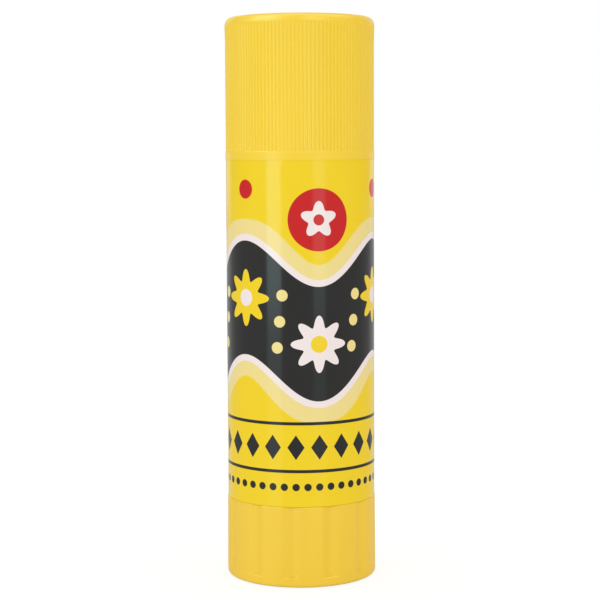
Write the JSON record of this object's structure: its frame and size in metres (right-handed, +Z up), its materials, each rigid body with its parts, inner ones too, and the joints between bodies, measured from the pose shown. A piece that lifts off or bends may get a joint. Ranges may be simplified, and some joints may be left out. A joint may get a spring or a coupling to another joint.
{
  "type": "glue stick",
  "caption": "Upright twist-up glue stick: ribbed push-on cap, necked barrel with printed wrap, and a fluted foot knob whose screw lifts the glue.",
  "frame": {"origin": "centre of the foot, on the surface that the stick stands on", "axes": "+Z up along the stick, -Y towards the viewer of the picture, +Y towards the seam of the wrap"},
  "size_m": [0.0306, 0.0306, 0.114],
  "materials": {
    "cap_plastic": "satin moulded polypropylene, warm yellow",
    "barrel_plastic": "satin moulded polypropylene, warm yellow",
    "printed_film": "glossy film, lemon yellow with a printed pattern",
    "knob_plastic": "satin moulded polypropylene, warm yellow",
    "inner_plastic": "natural white polypropylene",
    "glue_mass": "waxy off-white paste"
  },
  "bodies": {
    "body": {"barrel": "barrel_plastic", "film_wrap": "printed_film"},
    "cap": {"cap": "cap_plastic"},
    "knob": {"turn_knob": "knob_plastic", "spindle": "inner_plastic"},
    "carrier": {"glue_carrier": "inner_plastic", "glue": "glue_mass"}
  },
  "joints": [
    {"name": "cap_lift", "type": "slide", "parent": "body", "child": "cap", "axis": [0, 0, 1], "range_m": [0, 0.045]},
    {"name": "knob_turn", "type": "hinge", "parent": "body", "child": "knob", "pos_m": [0, 0, 0.0162], "axis": [0, 0, 1], "range_deg": [0, 1080]},
    {"name": "glue_rise", "type": "slide", "parent": "body", "child": "carrier", "axis": [0, 0, 1], "range_m": [0, 0.015]}
  ],
  "couplings": [
    {"joint": "knob_turn", "follows": "glue_rise", "rad_per_m": 1256.6}
  ]
}
